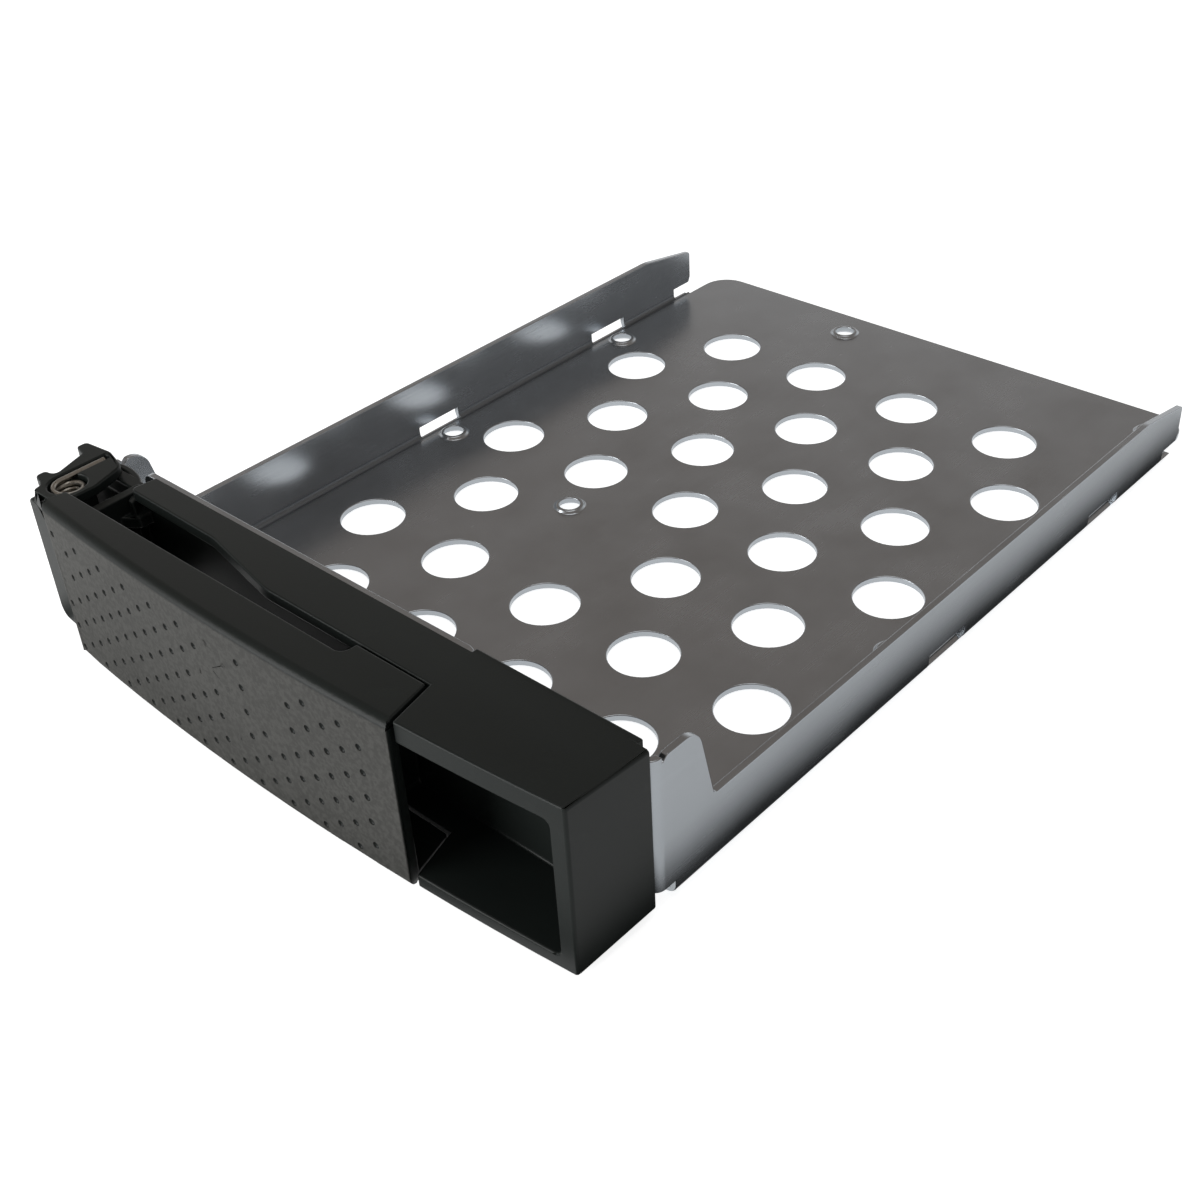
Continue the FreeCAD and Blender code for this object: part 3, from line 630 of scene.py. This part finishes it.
def screw_tree():
    """Puts a flat-head screw with a cross recess at each point, its head to the rear."""
    tree = NodeTree("Bezel_Screw_Set", (
        ("Head radius", "NodeSocketFloat"), ("Shank radius", "NodeSocketFloat"),
        ("Head depth", "NodeSocketFloat"), ("Length", "NodeSocketFloat"),
        ("Recess arm", "NodeSocketFloat"), ("Recess width", "NodeSocketFloat"),
        ("Recess depth", "NodeSocketFloat"), ("Finish", "NodeSocketMaterial")))
    head = tree.add("GeometryNodeMeshCone", {
        "Vertices": 40, "Radius Top": tree.size("Head radius"), "Radius Bottom": tree.size("Shank radius"),
        "Depth": tree.size("Head depth")}).outputs["Mesh"]
    sunk = tree.vector(z=tree.math("MULTIPLY", tree.size("Head depth"), -1))
    head = tree.add("GeometryNodeTransform", {"Geometry": head, "Translation": sunk}).outputs[0]
    half_head = tree.math("MULTIPLY", tree.size("Head depth"), 0.5)
    shank_length = tree.math("SUBTRACT", tree.size("Length"), half_head)
    shank = tree.add("GeometryNodeMeshCylinder", {
        "Vertices": 40, "Radius": tree.size("Shank radius"), "Depth": shank_length}).outputs["Mesh"]
    half_shank = tree.math("MULTIPLY", shank_length, 0.5)
    lowered = tree.vector(z=tree.math("SUBTRACT", half_shank, tree.size("Length")))
    shank = tree.add("GeometryNodeTransform", {"Geometry": shank, "Translation": lowered}).outputs[0]
    whole = tree.add("GeometryNodeMeshBoolean", operation="UNION", solver="EXACT")
    for part in (head, shank):
        tree.tree.links.new(part, whole.inputs["Mesh 2"])
    cut = tree.add("GeometryNodeMeshBoolean", operation="DIFFERENCE", solver="EXACT")
    tree.tree.links.new(whole.outputs["Mesh"], cut.inputs["Mesh 1"])
    double_arm = tree.math("MULTIPLY", tree.size("Recess arm"), 2)
    double_depth = tree.math("MULTIPLY", tree.size("Recess depth"), 2)
    for size in (tree.vector(double_arm, tree.size("Recess width"), double_depth),
                 tree.vector(tree.size("Recess width"), double_arm, double_depth)):
        arm = tree.add("GeometryNodeMeshCube", {"Size": size}).outputs["Mesh"]
        tree.tree.links.new(arm, cut.inputs["Mesh 2"])
    turned = tree.add("GeometryNodeTransform", {
        "Geometry": cut.outputs["Mesh"], "Rotation": (-math.pi / 2, 0, 0)}).outputs[0]
    screws = tree.add("GeometryNodeInstanceOnPoints", {
        "Points": tree.inlet.outputs["Geometry"], "Instance": turned}).outputs[0]
    tree.finish(screws)
    return tree


# ---------------------------------------------------------------- operators

class AddPan(Operator):
    """Finish the folded steel pan"""

    bl_idname = "drive_caddy.add_pan"
    bl_label = "Steel pan"

    def execute(self, context):
        sizes, finishes = context.scene.caddy_sizes, context.scene.caddy_finishes
        steel = rolled_steel("Zinc_Plated_Sheet", finishes.steel, finishes.steel_roughness)
        pan = merged_copy("tray_pan", "Pan_Sheet", steel)
        pan = break_edges(pan, sizes.sheet_edge, 2, "Steel_Pan")
        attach(pan, "tray")
        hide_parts("tray_pan")
        return {"FINISHED"}


class AddBezel(Operator):
    """Finish the black moulding behind and beside the lever"""

    bl_idname = "drive_caddy.add_bezel"
    bl_label = "Front moulding"

    def execute(self, context):
        sizes, finishes = context.scene.caddy_sizes, context.scene.caddy_finishes
        plastic = moulded_plastic("Bezel_Plastic", finishes.plastic, finishes.plastic_roughness)
        bezel = merged_copy("bezel", "Bezel_Moulding", plastic)
        bezel = break_edges(bezel, sizes.moulded_edge, 3, "Front_Moulding")
        bow_shading(bezel.data, BOW_RADIUS)
        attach(bezel, "tray")
        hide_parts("bezel")
        return {"FINISHED"}


class AddLever(Operator):
    """Finish the swinging lever and sink the dots into its face"""

    bl_idname = "drive_caddy.add_lever"
    bl_label = "Lever"

    def execute(self, context):
        sizes, finishes = context.scene.caddy_sizes, context.scene.caddy_finishes
        plastic = moulded_plastic(
            "Lever_Plastic", finishes.plastic, finishes.plastic_roughness,
            (finishes.face_plastic, finishes.face_roughness))
        lever = merged_copy("lever", "Lever_Moulding", plastic)
        tree = dotted_face_tree()
        tree.put_on(lever, {
            "Columns": sizes.dot_columns, "Rows": sizes.dot_rows,
            "Pitch along": sizes.dot_pitch_x, "Pitch up": sizes.dot_pitch_z,
            "Middle along": DOTS_ALONG, "Middle up": DOTS_UP,
            "Foremost": LEVER_LOW.y, "Bow radius": FACE_RADIUS,
            "Dot radius": sizes.dot_radius, "Dot depth": sizes.dot_depth,
            "Finish": plastic})
        lever = plain_mesh(lever, "Dotted_Lever")
        smooth(lever.data)
        lever = break_edges(lever, sizes.moulded_edge, 3, "Swing_Lever")
        bow_shading(lever.data, FACE_RADIUS)
        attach(lever, "lever")
        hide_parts("lever")
        return {"FINISHED"}


class AddSpring(Operator):
    """Wind the torsion spring round the hinge pin"""

    bl_idname = "drive_caddy.add_spring"
    bl_label = "Torsion spring"

    def execute(self, context):
        sizes, finishes = context.scene.caddy_sizes, context.scene.caddy_finishes
        half = sizes.wire / 2
        low, high = SPRING_LOW.z + half, SPRING_HIGH.z - half
        radius = PIVOT.y - SPRING_LOW.y - half
        points = [Vector((SPRING_HIGH.x, PIVOT.y - radius, low))]
        for step in range(SPRING_STEPS + 1):
            share = step / SPRING_STEPS
            angle = -math.pi / 2 - 2 * math.pi * sizes.spring_turns * share
            points.append(Vector((
                PIVOT.x + radius * math.cos(angle), PIVOT.y + radius * math.sin(angle),
                low + (high - low) * share)))
        points.append(Vector((PIVOT.x - radius, SPRING_HIGH.y, high)))
        path = bpy.data.curves.new("Spring_Path", "CURVE")
        path.dimensions = "3D"
        line = path.splines.new("POLY")
        line.points.add(len(points) - 1)
        for index, point in enumerate(points):
            line.points[index].co = point.to_4d()
        path.bevel_depth = half
        path.bevel_resolution = 3
        path.use_fill_caps = True
        wound = bpy.data.objects.new("Spring_Path", path)
        context.scene.collection.objects.link(wound)
        steel = drawn_steel("Spring_Wire", finishes.wire_steel, 0.3)
        spring = plain_mesh(wound, "Torsion_Spring")
        spring.data.materials.clear()
        spring.data.materials.append(steel)
        smooth(spring.data)
        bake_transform(spring)
        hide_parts("lever_spring")
        return {"FINISHED"}


class AddPin(Operator):
    """Finish the upright hinge pin"""

    bl_idname = "drive_caddy.add_pin"
    bl_label = "Hinge pin"

    def execute(self, context):
        sizes, finishes = context.scene.caddy_sizes, context.scene.caddy_finishes
        steel = drawn_steel("Pin_Steel", finishes.wire_steel, 0.26)
        pin = merged_copy("hinge_pin", "Pin_Rod", steel)
        pin = break_edges(pin, sizes.small_edge, 2, "Hinge_Pin")
        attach(pin, "tray")
        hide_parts("hinge_pin")
        return {"FINISHED"}


class AddScrews(Operator):
    """Set the flat-head screws that hold the front moulding"""

    bl_idname = "drive_caddy.add_screws"
    bl_label = "Bezel screws"

    def execute(self, context):
        sizes, finishes = context.scene.caddy_sizes, context.scene.caddy_finishes
        boxes = [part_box(node) for node in SCREW_NODES]
        heads = bpy.data.meshes.new("Screw_Places")
        heads.from_pydata(
            [((low.x + high.x) / 2, high.y, (low.z + high.z) / 2) for low, high in boxes], [], [])
        places = show("Screw_Places", heads)
        steel = drawn_steel("Screw_Plating", finishes.screw_steel, 0.34)
        tree = screw_tree()
        tree.put_on(places, {
            "Head radius": sizes.screw_head, "Shank radius": sizes.screw_shank,
            "Head depth": sizes.screw_head_depth, "Length": boxes[0][1].y - boxes[0][0].y,
            "Recess arm": sizes.recess_arm, "Recess width": sizes.recess_width,
            "Recess depth": sizes.recess_depth, "Finish": steel})
        screws = plain_mesh(places, "Screw_Blanks")
        smooth(screws.data)
        screws = break_edges(screws, sizes.small_edge, 2, "Bezel_Screws")
        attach(screws, "tray")
        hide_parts(*SCREW_NODES)
        return {"FINISHED"}


class AddStudio(Operator):
    """Lay the floor, hang the soft lights and place the camera"""

    bl_idname = "drive_caddy.add_studio"
    bl_label = "Studio"

    def execute(self, context):
        finishes = context.scene.caddy_finishes
        mesh = bpy.data.meshes.new("Studio_Floor")
        corners = [(x * FLOOR_HALF, y * FLOOR_HALF, FLOOR_LEVEL)
                   for x, y in ((-1, -1), (1, -1), (1, 1), (-1, 1))]
        mesh.from_pydata(corners, [], [(0, 1, 2, 3)])
        floor = show("Studio_Floor", mesh, studio_floor("Floor_Paint", finishes.floor))
        context.scene.world = studio_world(ROOM_SWEEP, ROOM_CEILING, ROOM_FILL)
        for name, place, aim, across, watts in SOFTBOXES:
            lamp = bpy.data.lights.new(name, "AREA")
            lamp.shape = "SQUARE"
            lamp.size = across
            lamp.energy = watts
            holder = bpy.data.objects.new(name, lamp)
            context.scene.collection.objects.link(holder)
            holder.location = place
            holder.rotation_euler = (Vector(aim) - Vector(place)).to_track_quat("-Z", "Y").to_euler()
        lens = bpy.data.cameras.new("Studio_Camera")
        lens.lens = LENS
        lens.sensor_width = SENSOR
        camera = bpy.data.objects.new("Studio_Camera", lens)
        context.scene.collection.objects.link(camera)
        camera.matrix_world = CAMERA_PLACE
        context.scene.camera = camera
        context.scene.view_settings.view_transform = "Standard"
        return {"FINISHED"}


class CaddyPanel(Panel):
    """Steps and settings of the drive caddy"""

    bl_idname = "VIEW3D_PT_drive_caddy"
    bl_label = "Drive caddy"
    bl_space_type = "VIEW_3D"
    bl_region_type = "UI"
    bl_category = "Drive caddy"

    def draw(self, context):
        steps = self.layout.column(align=True)
        for step in STEPS:
            steps.operator(step.bl_idname)
        for group in (context.scene.caddy_sizes, context.scene.caddy_finishes):
            rows = self.layout.column()
            for key in type(group).__annotations__:
                rows.prop(group, key)


STEPS = (AddPan, AddBezel, AddLever, AddSpring, AddPin, AddScrews, AddStudio)
CLASSES = (CaddySizes, CaddyFinishes) + STEPS + (CaddyPanel,)


def register():
    for cls in CLASSES:
        bpy.utils.register_class(cls)
    bpy.types.Scene.caddy_sizes = PointerProperty(type=CaddySizes)
    bpy.types.Scene.caddy_finishes = PointerProperty(type=CaddyFinishes)


def unregister():
    del bpy.types.Scene.caddy_finishes
    del bpy.types.Scene.caddy_sizes
    for cls in reversed(CLASSES):
        bpy.utils.unregister_class(cls)


def main():
    register()
    for step in STEPS:
        category, action = step.bl_idname.split(".")
        getattr(getattr(bpy.ops, category), action)()


if __name__ == "__main__":
    main()
